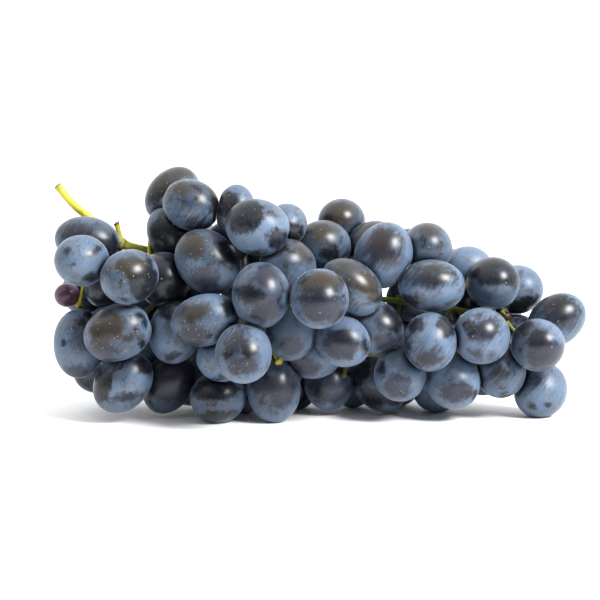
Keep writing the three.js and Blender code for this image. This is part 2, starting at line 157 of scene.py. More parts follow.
# Each berry as it is seen: name, across and up from the picture's middle, depth,
# long and short half widths, and the direction of the long one in degrees from the right.
SEEN_BERRIES = {
    "berries_shoulder": [
        ("A", -85.2, 24, -6, 13.2, 9.8, -10),
        ("B", -88, 16, -22, 10.8, 10.2, 0),
        ("E", -78.3, 4, -6, 7.2, 7.5, 0),
        ("D", -67.6, 9.2, -26, 11.6, 10.8, 20),
        ("H0", -87.2, 3.2, 12, 8.8, 8.8, 0),
    ],
    "berry_small_red": [
        ("C", -92.7, 2, -4, 5.1, 4.8, 0),
    ],
    "berries_lower_left": [
        ("F", -54, 8, -2, 10.8, 10.8, 0),
        ("M15", -50, -11.6, -14, 13.2, 10.4, 80),
        ("L2", -52, -32, -10, 13.6, 10, 60),
        ("L1", -70.4, -32, -24, 13.6, 10.8, 50),
        ("M16", -72.6, -13.6, -30, 14, 11.2, 22),
        ("G", -88.8, -17.6, -16, 14, 10.4, 90),
        ("H1", -76, -13, 2, 9.6, 9.2, 0),
        ("H2", -81, -28, 4, 9.6, 9.2, 0),
    ],
    "berries_upper_left": [
        ("T1", -51.2, 41.2, 4, 12.6, 10, 50),
        ("T2", -43, 38, -16, 11.9, 10.2, -25),
        ("T3", -51.2, 26.8, -8, 12, 9.6, -60),
        ("T4", -37.2, 14.6, -36, 14.6, 12.2, -45),
        ("H6", -44, -2, 8, 9.2, 8.8, 0),
    ],
    "berries_crown": [
        ("T5", -26.4, 35.2, 4, 10.8, 7.7, 85),
        ("T6", -16.4, 28.6, -28, 13, 11.4, -15),
        ("T7", -4.8, 30, 8, 8.4, 8, 90),
        ("H7", -29, 22, 4, 9.2, 8.8, 0),
    ],
    "berries_top_middle": [
        ("T8", 17.2, 31.2, 10, 9.6, 9.2, 0),
        ("T9", 8.8, 22, -14, 11.2, 10.2, -10),
        ("T10", 28.8, 22.8, 2, 10.8, 9.2, 20),
        ("T11", 33.6, 17.2, -18, 13.6, 11.6, 70),
    ],
    "berries_top_right": [
        ("T12", 50.4, 21.2, -2, 10, 10, 0),
        ("T13", 43.2, 20.8, 20, 8.4, 8.4, 0),
        ("T22", 52.2, 5.8, -28, 13.6, 10.8, 0),
        ("H4", 44, 0, 16, 9.6, 9.2, 0),
    ],
    "berries_right": [
        ("T14", 67.2, 12.8, 0, 10, 8.4, 10),
        ("T15", 61.2, 12, 20, 8, 8, 0),
        ("T16", 76.6, 7, -20, 10.8, 10.6, 0),
        ("T17", 87.6, 4.4, -4, 10.4, 10, 0),
        ("H5", 80, -2, 20, 9.2, 8.8, 0),
    ],
    "berries_tip": [
        ("T18", 102.8, -8, -6, 12.4, 10, 35),
        ("T19", 94.8, -18.2, -22, 10.8, 10.6, -10),
        ("T30", 86.8, -15.2, 8, 9.6, 9.6, 0),
        ("T24", 80, -29.2, -14, 10.8, 10.4, 90),
        ("T23", 95.6, -36, -12, 11.4, 10.6, 60),
    ],
    "berries_front_centre": [
        ("M1", -5.2, 14, -12, 11.4, 11, 0),
        ("M2", -16.2, 2, -38, 13.2, 11.6, 90),
        ("M3", 8.5, 0.5, -38, 11.9, 11.6, 90),
        ("M5", 20.8, 5.6, -30, 13.6, 10.4, -38),
    ],
    "berries_front_left": [
        ("M4", -37.6, -8.6, -30, 14, 10.4, 15),
        ("M14", -31.6, -23.2, -26, 10.4, 9.2, 0),
        ("M6", -23, -20.8, -38, 11.9, 11.2, 90),
        ("M13", -32.8, -38.4, -22, 11.2, 10.4, 0),
    ],
    "berries_bottom_centre": [
        ("M9", -3.6, -13.2, -24, 11.2, 10, 90),
        ("M10", 4.8, -22.4, -22, 11.6, 9.4, 10),
        ("M12", -10.2, -35.2, -21, 13.4, 10.6, 90),
        ("M11", 12, -33.2, -12, 11.2, 10, 90),
        ("B1", -0.8, -35.2, 8, 8.4, 8.4, 0),
        ("H3", -13, -17, 2, 9.6, 9.2, 0),
    ],
    "berries_lower_middle": [
        ("M8", 16.4, -16.8, -32, 11.2, 10.2, -25),
        ("M7", 30.4, -11.2, -18, 12, 10.8, -30),
        ("T26", 40, -29.2, -22, 10.8, 10.4, 90),
        ("T27", 32, -33.2, -4, 12.4, 10.4, -45),
    ],
    "berries_lower_right": [
        ("T21", 51.4, -16.8, -32, 12, 10.8, 85),
        ("T20", 73.2, -14, -30, 11.7, 11.5, 0),
        ("T25", 61.6, -32.8, -18, 11.6, 10.8, 90),
        ("T28", 54.4, -34.4, 3, 10, 10, 0),
        ("T29", 73.2, -30, 10, 8.8, 8.8, 0),
        ("K1", 69, -3.5, 9, 9.4, 9, 0),
    ],
}

# The berries that carry the bunch on the surface
FLOOR_BERRIES = ("M13", "M12", "T23", "T28", "B1")

# The rachis inside the bunch and the bare stalk that leads to it: across, up, depth
RACHIS_ROUTE = [
    (-71.6, 22.8, 0),
    (-55, 18, 4),
    (-40, 9, 4),
    (0, 2, 0),
    (36, 0, 0),
    (64, -4, -2),
    (82, -8, -2),
]
STALK_ROUTE = [
    (-97, 45.8, -4),
    (-94, 42, -4),
    (-90, 37.6, -3),
    (-85.6, 34, -1),
    (-78, 28.6, 0),
    (-71.6, 22.8, 0),
]

# The cut stub at the stalk's node, and the pedicels that show between the berries
STUB = [(-71.6, 22.8, 0), (-73.4, 30.4, 0)]
SHOWN_PEDICELS = [
    [(-60, 20, 3), (-60, 24, -1), (-60.4, 17, -6)],
    [(-72, 22.8, 0), (-78, 18.5, 4), (-83, 13, 2), (-86.5, 5.6, -8), (-88.4, -2.4, -15)],
]

# Pedicel ends that peep out between the berries: how dark each is, as painted shade, how brown its end is,
# and its route in the frame of the bunch
PEDICEL_ENDS = [
    (0.2, 0.4, [(-19.2, -12.6, 27.8), (-17.6, -16.2, 26.2), (-16.3, -19.1, 24.4)]),
    (0.5, 0.3, [(17, -3, 25.2), (20.8, 0, 24.6), (25.5, 1.5, 24.4)]),
    (0.8, 0.8, [(72, 4, 41), (73, 1.6, 40.2), (73.9, 0, 39.4)]),
    (1.0, 0.7, [(10.4, 1.7, 21.2), (9.9, -1.2, 19.4), (8.9, -4.8, 16.2)]),
]

# The bunch as it is seen: across, lowest and highest
OUTLINE = [
    (-98, -26, 24),
    (-91, -31, 33),
    (-82, -36, 32),
    (-73, -43, 22),
    (-63, -37, 20),
    (-60, -37, 44),
    (-50, -44, 52),
    (-38, -48, 50),
    (-26, -48, 45),
    (-15, -48, 40),
    (0, -44, 37),
    (5, -44, 31),
    (18, -44, 39),
    (27, -44, 33),
    (52, -44, 31),
    (60, -43, 23),
    (76, -42, 18),
    (90, -43, 12),
    (98, -45, 8),
    (114, -18, -8),
]

# Marks in the bloom on the side that is seen. Bare skin shows in them, or skin tinted as painted reflection,
# purple-grey for the floor below and olive for the light above, or the bloom is thin, streaked or strewn with
# specks: kind, right and up of the berry's middle, half width, half height, and turn in degrees.
MARKS = {
    "A": [("streaked", -5, 2.5, 7, 4.5, -10), ("bare", 8.5, -2.5, 4.2, 5, 35), ("thin", 2, 3, 8, 5, 0)],
    "B": [("bare", 5, 3, 2.2, 1.7, 40), ("bare", 7.4, 4.6, 1.3, 1.3, 0), ("bare", -5, 3.6, 1.8, 1.4, 0),
          ("bare", 4, -7, 3.2, 1.7, 25), ("bare", -3.4, -2, 1, 0.8, 0), ("specks", -2, 7, 6, 2.5, 0)],
    "D": [("bare", 5, -2, 5.5, 8, 10), ("olive", -1, 5, 6, 3.6, 10), ("bare", 7, 6, 2.4, 1.6, -40),
          ("bare", -3.4, -8.2, 1.4, 1.1, 0), ("specks", -2, 1, 8, 8, 0), ("thin", 0, 0, 9, 8, 0)],
    "G": [("bare", 5, 9.6, 4.5, 3.4, 40), ("bare", -6, 0, 1.4, 1.6, 0), ("grey", -0.4, -11.5, 6.5, 3.2, 0),
          ("thin", 3, 3, 6, 7, 0), ("specks", -3, 6, 4, 5, 0)],
    "L1": [("bare", -8.5, -2, 3.6, 6.5, -10), ("bare", 8.5, 6, 4, 4, 0), ("bare", 1, -6.8, 5, 2, 10),
           ("thin", 0, 4, 9, 4, 30)],
    "L2": [("grey", -1, 1, 9, 11, 60), ("bare", 4, 4, 5, 7, 60)],
    "F": [("bare", -2, 0, 9, 9, 0)],
    "E": [("grey", 0, 0, 6, 6, 0), ("specks", 0, 0, 6, 6, 0)],
    "M15": [("bare", -1.6, -10.6, 3.2, 1.8, 0), ("bare", -1, 8.5, 7.5, 5, -10), ("thin", 2, 0, 6, 6, 0)],
    "M16": [("olive", -5, 3.5, 6.8, 6.4, 20), ("bare", -9, 0.6, 2, 3, -20), ("bare", 4, -2, 2.4, 1.7, 10),
            ("bare", 8, 7, 2, 1.6, -40), ("bare", 10.6, 4.4, 1.2, 2, 20), ("bare", 9.6, -4, 1.6, 1.6, 0),
            ("grey", -5.8, -7, 6.5, 3.8, -20), ("specks", -4, -4, 8, 6, 0), ("thin", 0, 0, 9, 7, 20)],
    "T1": [("olive", 2, 9, 8, 4, 25), ("bare", -6, 3, 4, 7, -30), ("specks", -4, -2, 5, 6, 0)],
    "T2": [("bare", 9.4, 0, 2.6, 8, 12), ("streaked", 3.5, -7.5, 5, 3, -30), ("thin", 1, 3, 8, 6, 0),
           ("specks", -6.5, 1, 3.5, 7.5, 0), ("olive", -5, 7, 4, 3, 0)],
    "T3": [("bare", 1, 0, 8.4, 9, -60), ("specks", -3, 2, 6, 6, 0)],
    "T4": [("grey", -0.6, -5.6, 5.6, 4.6, -10), ("olive", -6, 7, 5, 5, 40), ("bare", 9, 5, 4.4, 5, -40),
           ("thin", 1, 6, 10, 6, -30), ("specks", -5, 6, 7, 7, 0)],
    "T5": [("bare", -3, 3, 5, 5, 0), ("specks", 0, 0, 6, 8, 0)],
    "T6": [("bare", -5.5, 5, 7, 6.6, 30), ("bare", 8.4, -5, 4, 5.4, 60), ("bare", -2, -10.8, 5, 1.6, 10),
           ("thin", 1, 8, 8, 3.4, 0)],
    "T7": [("bare", 2, -3, 4, 4, 0), ("specks", 0, 0, 6, 6, 0)],
    "T8": [("olive", -2, 3, 6.4, 5, 20), ("thin", 0, 2, 8, 6, 0)],
    "T9": [("olive", -1, 6, 7.5, 3.6, 5), ("bare", 3, -3.4, 4, 3, 0), ("thin", 0, 3, 8, 6, 0)],
    "T10": [("olive", -3, 5, 6.5, 4.5, 30)],
    "T11": [("streaked", -1, 4, 6.5, 6.5, 55), ("olive", -1, 7, 4.6, 4, 55), ("thin", 1, 3, 7, 7, 0)],
    "T12": [("olive", 1, 7.4, 5.5, 2.6, 0), ("thin", 2, 2, 6, 5, 0)],
    "T16": [("bare", 0, 4.4, 10, 5.6, -8), ("bare", 8.4, -0.4, 2.4, 1.8, 0), ("thin", 0, 0, 9, 7, 0)],
    "T17": [("bare", 2.6, -7, 7, 3.6, 12), ("thin", 3, 2, 6, 6, 0)],
    "T18": [("bare", -1, 7.5, 7.6, 3.4, -5), ("streaked", 2, 1, 6, 4, 10), ("thin", 0, 2, 7, 6, 0)],
    "T19": [("bare", 0.4, 2.8, 4, 3.8, 0), ("grey", 4, -3.8, 7.5, 6.5, -10), ("bare", -5.4, 7, 4, 3, 30),
            ("thin", -2, 0, 8, 8, 0)],
    "T20": [("grey", 0.4, 1.2, 6.4, 4, 40), ("bare", -5.6, 3.4, 2.2, 3.2, 20), ("bare", -2, 7.4, 2, 1, 20),
            ("grey", -2.4, -8, 3, 2, -20), ("grey", 3.4, -8.4, 2.4, 1.6, 10), ("streaked", 2, 3, 5, 4, 40)],
    "T21": [("bare", -5.4, 7, 3.4, 3, 0), ("bare", 7, 6.4, 3.6, 4.4, 20), ("streaked", 0, -5.6, 5.4, 3.4, 0),
            ("grey", 0, -7, 4.6, 2.6, 0), ("bare", -8.6, -1, 1.5, 5.4, 0)],
    "T22": [("streaked", 0, 3, 8.6, 3.6, 0), ("bare", -8.6, -7, 4.2, 3.6, 30), ("thin", 0, 3, 8, 4, 0),
            ("bare", 4, 3.4, 5, 2, 5), ("olive", 1, 7.4, 7, 2.2, 0)],
    "T23": [("bare", -3, -6.4, 1.8, 1.4, 0), ("bare", 3.6, -6, 1.6, 1.2, 0), ("streaked", -1, 3.2, 4, 2, 30)],
    "T24": [("streaked", -1, 0, 2.4, 4, -60), ("thin", 0, 0, 5, 6, 0), ("bare", 2, -9.4, 2.6, 1.4, 0)],
    "T25": [("grey", 1, -4, 6, 4, 5), ("bare", 7, -5, 3, 2, 0), ("thin", 0, -1, 6, 5, 0)],
    "T26": [("grey", -1, -5, 5.6, 4.8, 0), ("bare", -7.4, 1.2, 1.6, 3.4, 0), ("thin", 0, 4, 6, 4, 0)],
    "T27": [("bare", -7.4, 4, 3, 6, -20), ("bare", -3, -6, 5, 3.4, -20), ("bare", 4.6, -6, 4, 3, 0),
            ("thin", 0, 0, 8, 9, 0)],
    "M1": [("olive", 7, 5.5, 2.6, 5, 30), ("thin", 2, 4, 7, 6, 0)],
    "M2": [("grey", 3.2, 8, 5, 4.6, 0), ("grey", 2.6, -6.5, 6.4, 4, 20), ("bare", -4.6, 0.4, 5.4, 3.4, -10),
           ("thin", 1, 0, 8, 9, 0)],
    "M3": [("bare", 0, 6, 8.6, 4.6, 0), ("grey", 0.4, -3.6, 9, 6, 0), ("bare", 0.6, 0.6, 9.4, 1.4, 0),
           ("olive", 0, 8, 6.5, 2.6, 0), ("thin", 0, 0, 9.4, 9, 0)],
    "M4": [("olive", -5, 4, 6, 3.4, 10), ("grey", -5.4, -6, 6, 4.4, 10), ("bare", 9.6, 5.6, 3.2, 3.4, 0),
           ("bare", 0.6, -5.8, 1.2, 1.6, 0), ("specks", -5, -4, 6, 5, 0), ("thin", -3, 0, 9, 7, 0)],
    "M5": [("olive", 1.5, 4, 10.5, 5.4, -38), ("bare", 6, 1, 5, 3.4, -38), ("bare", 9.6, -4.6, 2.4, 3.4, 60),
           ("streaked", -4, -3, 6, 4, -45)],
    "M6": [("streaked", -2, 5, 4.4, 4, 60), ("grey", 1, -5.8, 6, 3.6, 0), ("bare", 3, 0.6, 3, 2.4, 0),
           ("specks", -2, 0, 7, 9, 0), ("thin", 0, -1, 7, 7, 0)],
    "M7": [("grey", 3, -5.2, 4, 3.6, 0), ("bare", 7, 4, 3.6, 5.4, 20), ("grey", 3.4, 3.4, 5, 3.4, 60),
           ("thin", 3, 1, 7, 7, 0)],
    "M8": [("grey", 0, -1.8, 6.6, 5.2, -5), ("bare", 1, 2.4, 4.8, 2.6, -5), ("bare", 9.6, -1.6, 1.4, 2.8, 0),
           ("thin", 0, 0, 7.6, 6.6, 0)],
    "M9": [("grey", 0.2, -5.4, 5.4, 4, 0)],
    "M10": [("grey", -2.6, -4.6, 5.4, 4, -10)],
    "M11": [("bare", -4.8, -3.6, 2.2, 3, 0), ("grey", 0, -1, 8, 7, 0), ("bare", 5, 4.6, 3.6, 2.4, -20)],
    "M12": [("grey", -4.6, 1.6, 4.4, 5, 60), ("grey", 3, -0.4, 5, 7.4, 0), ("thin", 0, 0, 8, 9, 0)],
    "M13": [("bare", -1, 2.6, 8.4, 4.4, 0), ("bare", 0, -8, 7, 2.4, 0), ("thin", 0, 0, 9, 8, 0)],
    "M14": [("bare", 0, -7.6, 4.4, 1.4, 20), ("specks", -4, 1, 5, 6, 0)],
}

# Bloom of single berries that are darker or paler than the rest. The darker bloom of berries deep in the
# bunch, such as the H berries, is painted shade.
BLOOM_TONES_AND_SHADE = {
    "T14": 0.6, "T17": 0.3, "M10": 0.25, "G": 0.2, "L1": 0.1, "F": -0.8, "L2": -0.7, "E": -0.9,
    "H0": -0.6, "K1": -0.8, "H1": -0.7, "H2": -0.7, "H3": -0.7, "H4": -0.7, "H5": -0.7,
    "H6": -0.7, "H7": -0.7, "T13": -0.5, "T15": -0.5, "B1": -0.8, "T29": -0.5, "T30": -0.5, "T3": -0.2,
}
TONE_VARIATION = 0.22

# How far the listed marks grow, and the depth in a mark, in mm, of skin far from any
MARK_GROWTH = 1.14
UNMARKED = -8.0

# Seeded marks on the sides that are not seen: how many to a berry, how often each kind comes,
# their sizes, and how far they may reach round to the side that is seen
HIDDEN_MARKS = 6
MARK_KINDS = ("bare", "grey", "olive", "thin", "streaked", "specks")
MARK_SHARES = (0.25, 0.25, 0.15, 0.15, 0.1, 0.1)
MARK_SIZES = (1.5, 7.0)
MARK_TURN = -0.1
PLAIN_BERRIES = ("T14",)


# The viewpoint
view_right = np.array([1.0, 0.0, 0.0])
view_up = np.array([0.0, math.sin(VIEW_ELEVATION), math.cos(VIEW_ELEVATION)])
view_back = np.array([0.0, -math.cos(VIEW_ELEVATION), math.sin(VIEW_ELEVATION)])
view_aim = np.array([0.0, 0.0, AIM_HEIGHT])
viewpoint = view_aim + view_back * VIEW_DISTANCE


def to_frame(points):
    return (np.asarray(points) + CENTRING) / 1000


def add_object(name, data):
    added = bpy.data.objects.new(name, data)
    bpy.context.scene.collection.objects.link(added)
    return added


def make_camera():
    data = bpy.data.cameras.new("camera")
    data.sensor_width = SENSOR_WIDTH
    data.lens = SENSOR_WIDTH * VIEW_DISTANCE / PICTURE_WIDTH
    camera = add_object("camera", data)
    camera.location = to_frame(viewpoint)
    camera.rotation_euler = (math.pi / 2 - VIEW_ELEVATION, 0, 0)
    bpy.context.scene.camera = camera


def place_seen(across, up, depth):
    """The point that is seen at that place and lies at that depth, and the scale of things there."""
    sight = view_aim + view_right * across + view_up * up - viewpoint
    scale = (depth - viewpoint[1]) / sight[1]
    return viewpoint + sight * scale, scale


def points_seen(route):
    return [place_seen(*place)[0] for place in route]


def seen_places(points):
    """Where points are seen, across and up, with the scale of things at their depth."""
    sight = points - viewpoint
    scale = -(sight @ view_back) / VIEW_DISTANCE
    return sight @ view_right / scale, sight @ view_up / scale, scale


def span_point(four, share):
    """A point between the middle two of four points, on the smooth curve that runs through them."""
    p0, p1, p2, p3 = four
    d0, d1, d2 = (float((b - a) @ (b - a)) ** 0.25 for a, b in zip(four, four[1:]))
    leave = ((p1 - p0) / d0 - (p2 - p0) / (d0 + d1) + (p2 - p1) / d1) * d1
    arrive = ((p2 - p1) / d1 - (p3 - p1) / (d1 + d2) + (p3 - p2) / d2) * d1
    square = 3 * (p2 - p1) - 2 * leave - arrive
    cube = 2 * (p1 - p2) + leave + arrive
    return p1 + share * (leave + share * (square + share * cube))


def curve_samples(route, count):
    ends = [2 * route[0] - route[1], *route, 2 * route[-1] - route[-2]]
    samples = []
    for i in range(count + 1):
        place = (len(route) - 1) * i / count
        span = min(int(place), len(route) - 2)
        samples.append(span_point(ends[span:span + 4], place - span))
    return np.array(samples)


stem_route = points_seen(STALK_ROUTE) + points_seen(RACHIS_ROUTE)[1:]
stem_samples = curve_samples(stem_route, STEM_SAMPLES)
rachis_samples = curve_samples(points_seen(RACHIS_ROUTE), RACHIS_SAMPLES)


def nearest(samples, point):
    away = samples - point
    return samples[np.argmin((away * away).sum(axis=1))]


def unit(vector):
    return vector / math.sqrt(vector @ vector)


# The berries' places, by the same rule as the solids

draw_state = RANDOM_SEED


def draw():
    """Seeded draws between -1 and 1."""
    global draw_state
    draw_state = (draw_state * DRAW_FACTOR) % DRAW_RANGE
    return 2 * draw_state / DRAW_RANGE - 1


def outline_at(across):
    i = 1
    while i < len(OUTLINE) - 1 and across > OUTLINE[i][0]:
        i += 1
    x0, low0, high0 = OUTLINE[i - 1]
    x1, low1, high1 = OUTLINE[i]
    share = min(1, max(0, (across - x0) / (x1 - x0)))
    return low0 + (low1 - low0) * share, high0 + (high1 - high0) * share


def seen_berry(group, row):
    """A berry seen nearly round points its long axis towards the eye."""
    name, across, up, depth, long, short, direction = row
    point, scale = place_seen(across, up, depth)
    outward = point - nearest(rachis_samples, point)
    turn = math.radians(direction)
    flat = view_right * math.cos(turn) + view_up * math.sin(turn)
    if flat @ outward < 0:
        flat = -flat
    true_long = max(long, short * ROUND_TO_OVAL)
    flat_share = math.sqrt((long ** 2 - min(long, short) ** 2) / (true_long ** 2 - short ** 2))
    lean = math.acos(min(1, flat_share))
    towards_eye = 1 if outward[1] < FAR_BEHIND else -1
    return SimpleNamespace(
        name=name,
        group=group,
        centre=point,
        home=point.copy(),
        place=(across, up),
        axis=flat * math.cos(lean) + view_back * (towards_eye * math.sin(lean)),
        long=true_long * scale,
        short=short * scale,
        sight=unit(point - viewpoint),
        give=FLOOR_GIVE if name in FLOOR_BERRIES else 1,
        allowance=SEEN_ALLOWANCE if depth <= FOREGROUND_DEPTH else HIDDEN_ALLOWANCE,
    )


def hidden_berry(name, group, centre):
    outward = unit(centre - nearest(rachis_samples, centre))
    axis = unit(outward + np.array([draw(), draw(), draw()]) * HIDDEN_LEAN)
    size = 1 + HIDDEN_VARIATION * draw()
    return SimpleNamespace(
        name=name,
        group=group,
        centre=centre,
        axis=axis,
        long=HIDDEN_LONG * size,
        short=HIDDEN_SHORT * size,
        sight=None,
        allowance=HIDDEN_ALLOWANCE,
    )


def reach(berry, direction):
    """Half the berry's width along a direction."""
    along = berry.axis @ direction
    return math.sqrt(berry.short ** 2 + (berry.long ** 2 - berry.short ** 2) * along * along)


def gap_between(one, other):
    way = other.centre - one.centre
    distance = math.sqrt(way @ way)
    way = way / distance
    return way, distance - reach(one, way) - reach(other, way) + PRESS


def ring_berries(seen):
    """Odd and even rings are staggered, and a berry that would sit in another one is left out."""
    made = []
    for ring in range(RING_COUNT):
        x = RING_START + RING_STEP * ring
        low, high = outline_at(x)
        top = place_seen(x, high, RING_CENTRE)[0][2]
        bottom = max(0, place_seen(x, low, RING_CENTRE)[0][2])
        rise = (top - bottom) / 2 - HIDDEN_SHORT
        towards_end = min(1, abs(x - RING_MIDDLE) / RING_REACH) ** 2
        depth = RING_DEPTH + (RING_END_DEPTH - RING_DEPTH) * towards_end
        around = 2 * RING_SWEEP * math.hypot(depth, rise) * math.sqrt(0.5)
        count = max(2, math.floor(around / RING_SPACING + 0.5))
        for k in range(count):
            turn = RING_SWEEP - 2 * RING_SWEEP * (k + RING_OFFSETS[ring % 2]) / count
            y = RING_CENTRE + depth * math.cos(turn)
            z = (top + bottom) / 2 + rise * math.sin(turn)
            centre = np.array([x + RING_SHIFT * draw(), y, z])
            berry = hidden_berry(f"R{ring + 1}{k}", f"berries_back_{ring + 1}", centre)
            limit = -HIDDEN_SHORT * CROWDED
            if all(gap_between(berry, other)[1] >= limit for other in seen + made):
                made.append(berry)
    return made


def push(berry, shift):
    """A seen berry gives way along the line of sight, so it stays where it is seen."""
    if berry.sight is None:
        berry.centre = berry.centre + shift
        return
    along = berry.sight * (shift @ berry.sight)
    berry.centre = berry.centre + along * berry.give + (shift - along) * SIDE_GIVE
    away = berry.centre - berry.home
    sideways = away - berry.sight * (away @ berry.sight)
    length = math.sqrt(sideways @ sideways)
    if length > SIDE_LIMIT:
        berry.centre = berry.centre - sideways / length * (length - SIDE_LIMIT)


def stay_hidden(berry):
    """A hidden berry stays inside the bunch's outline."""
    if berry.sight is not None:
        return
    across, up, scale = seen_places(berry.centre)
    half = reach(berry, view_up) / scale + OUTLINE_MARGIN
    spots = [outline_at(across + share * half) for share in OUTLINE_SPOTS]
    high = min(spot[1] for spot in spots) - half
    low = max(spot[0] for spot in spots) + half
    wanted = (high + low) / 2 if high < low else min(high, max(low, up))
    inside = max(across, OUTLINE[0][0] + half)
    berry.centre = berry.centre + np.array([(inside - across) * scale, 0, (wanted - up) * scale])


def holder_of(berry, before):
    """Each berry hangs on the nearest one listed before it in its own node."""
    own = [other for other in before if other.group == berry.group]
    return min(own, key=lambda other: gap_between(berry, other)[1], default=None)


def clear_stem(berry):
    """A berry keeps clear of the stalk and the rachis."""
    way = berry.centre - nearest(stem_samples, berry.centre)
    distance = math.sqrt(way @ way)
    way = way / distance
    gap = distance - reach(berry, way) - RACHIS_RADIUS - STEM_ROOM
    if gap < 0:
        push(berry, way * -gap)


def stand_on_floor(berry):
    low = reach(berry, np.array([0, 0, 1])) - FLOOR_PRESS
    if berry.name in FLOOR_BERRIES or berry.centre[2] < low:
        berry.centre = np.array([berry.centre[0], berry.centre[1], low])


def near_pairs(berries):
    centres = np.array([berry.centre for berry in berries])
    away = centres[:, None] - centres[None]
    near = (away * away).sum(axis=2) < NEIGHBOUR_REACH ** 2
    for i, berry in enumerate(berries):
        if berry.holder is not None:
            near[berries.index(berry.holder), i] = True
    return np.argwhere(np.triu(near, 1))


def settle(berries):
    for _ in range(SETTLE_ROUNDS):
        for i, j in near_pairs(berries):
            one, other = berries[i], berries[j]
            way, gap = gap_between(one, other)
            if gap < 0 or one.holder is other or other.holder is one:
                push(one, way * (gap * SETTLE_SHARE))
                push(other, way * (-gap * SETTLE_SHARE))
        for berry in berries:
            clear_stem(berry)
        for berry in berries:
            stay_hidden(berry)
        for berry in berries:
            stand_on_floor(berry)


def make_berries():
    berries = [seen_berry(group, row) for group, rows in SEEN_BERRIES.items() for row in rows]
    berries += ring_berries(berries)
    for i, berry in enumerate(berries):
        berry.holder = holder_of(berry, berries[:i])
    settle(berries)
    return berries


# The fine berries

def unit_ball(subdivisions):
    ball = bmesh.new()
    bmesh.ops.create_icosphere(ball, subdivisions=subdivisions, radius=1)
    points = np.array([vertex.co for vertex in ball.verts])
    faces = np.array([[vertex.index for vertex in face.verts] for face in ball.faces])
    ball.free()
    return points / np.linalg.norm(points, axis=1)[:, None], faces


ball_points, ball_faces = unit_ball(FINE_SUBDIVISIONS)


def across_axes(axis):
    """Two directions square to an axis and to each other."""
    side = unit(np.cross(axis, (0.0, 0.0, 1.0) if abs(axis[2]) < STEEP else (1.0, 0.0, 0.0)))
    return side, np.cross(axis, side)


def uneven(directions, chance):
    """A few slow waves over the skin."""
    rise = np.zeros(len(directions))
    for _ in range(WAVES):
        wave = np.array([chance.gauss(0, 1) for _ in range(3)]) * WAVE_RATE
        rise += np.sin(directions @ wave + chance.uniform(0, WAVE_PHASE))
    return rise * UNEVENNESS


def soft_limit(height, limit, rounding):
    """Heights bend to the limit over the rounding instead of passing it."""
    start = limit - rounding
    over = np.maximum(0, height - start)
    return np.where(height > start, limit - rounding * np.exp(-over / rounding), height)


def skin_points(berry, berries, chance):
    """The berry's skin: oval, a little uneven, dimpled at the pedicel, flattened where it presses."""
    side, other_side = across_axes(berry.axis)
    turned = np.array([side, other_side, berry.axis])
    from_tip = np.arccos(np.clip(ball_points[:, 2], -1, 1))
    from_pedicel = math.pi - from_tip
    stretch = 1 + uneven(ball_points, chance)
    local = ball_points * np.array([berry.short, berry.short, berry.long]) * stretch[:, None]
    local[:, 2] += DIMPLE_DEPTH * np.exp(-(from_pedicel / DIMPLE_WIDTH) ** 2)
    local[:, 2] -= TIP_DEPTH * np.exp(-(from_tip / TIP_WIDTH) ** 2)
    points = local @ turned
    for other in berries:
        if other is berry:
            continue
        way = other.centre - berry.centre
        distance = math.sqrt(way @ way)
        way = way / distance
        mine = reach(berry, way)
        spare = distance - mine - reach(other, way)
        if spare < CONTACT_GAP:
            height = points @ way
            limited = soft_limit(height, mine + (spare - CONTACT_GAP) / 2, CONTACT_ROUNDING)
            points += (limited - height)[:, None] * way
    points += berry.centre
    points[:, 2] = -soft_limit(-points[:, 2], 0, FLOOR_ROUNDING)
    return points


def seen_marks(berry, points, outward):
    """How far inside the listed marks the points lie, on the side that is seen."""
    across, up, _ = seen_places(points)
    towards = viewpoint - points
    facing = (outward * towards).sum(axis=1) / np.linalg.norm(towards, axis=1)
    for kind, right, above, half_width, half_height, turn in MARKS.get(berry.name, ()):
        x = across - berry.place[0] - right
        y = up - berry.place[1] - above
        cosine, sine = math.cos(math.radians(turn)), math.sin(math.radians(turn))
        lengthwise = (x * cosine + y * sine) / half_width
        crosswise = (y * cosine - x * sine) / half_height
        from_middle = np.hypot(lengthwise, crosswise)
        depth = (MARK_GROWTH - from_middle) * min(half_width, half_height)
        yield kind, np.where(facing > 0, np.maximum(depth, UNMARKED), UNMARKED)


def pressed(berry, berries, points):
    """How far the skin lies inside the next berries, below nought where it lies outside."""
    inside = np.full(len(points), UNMARKED)
    for other in berries:
        between = other.centre - berry.centre
        if other is berry or math.sqrt(between @ between) > berry.long + other.long - UNMARKED:
            continue
        offset = points - other.centre
        away = np.linalg.norm(offset, axis=1)
        lengthwise = offset @ other.axis / away
        surface = 1 / np.sqrt((lengthwise / other.long) ** 2 + (1 - lengthwise**2) / other.short**2)
        inside = np.maximum(inside, surface - away)
    return inside


def random_marks(berry, outward, chance):
    """Seeded marks on the sides that are not seen."""
    if berry.name in PLAIN_BERRIES:
        return
    for _ in range(HIDDEN_MARKS):
        kind = chance.choices(MARK_KINDS, MARK_SHARES)[0]
        middle = unit(np.array([chance.gauss(0, 1) for _ in range(3)]))
        size = chance.uniform(*MARK_SIZES)
        if berry.name in MARKS and middle @ view_back > MARK_TURN:
            continue
        angle = np.arccos(np.clip(outward @ middle, -1, 1))
        yield kind, np.maximum(UNMARKED, size - angle * berry.short)


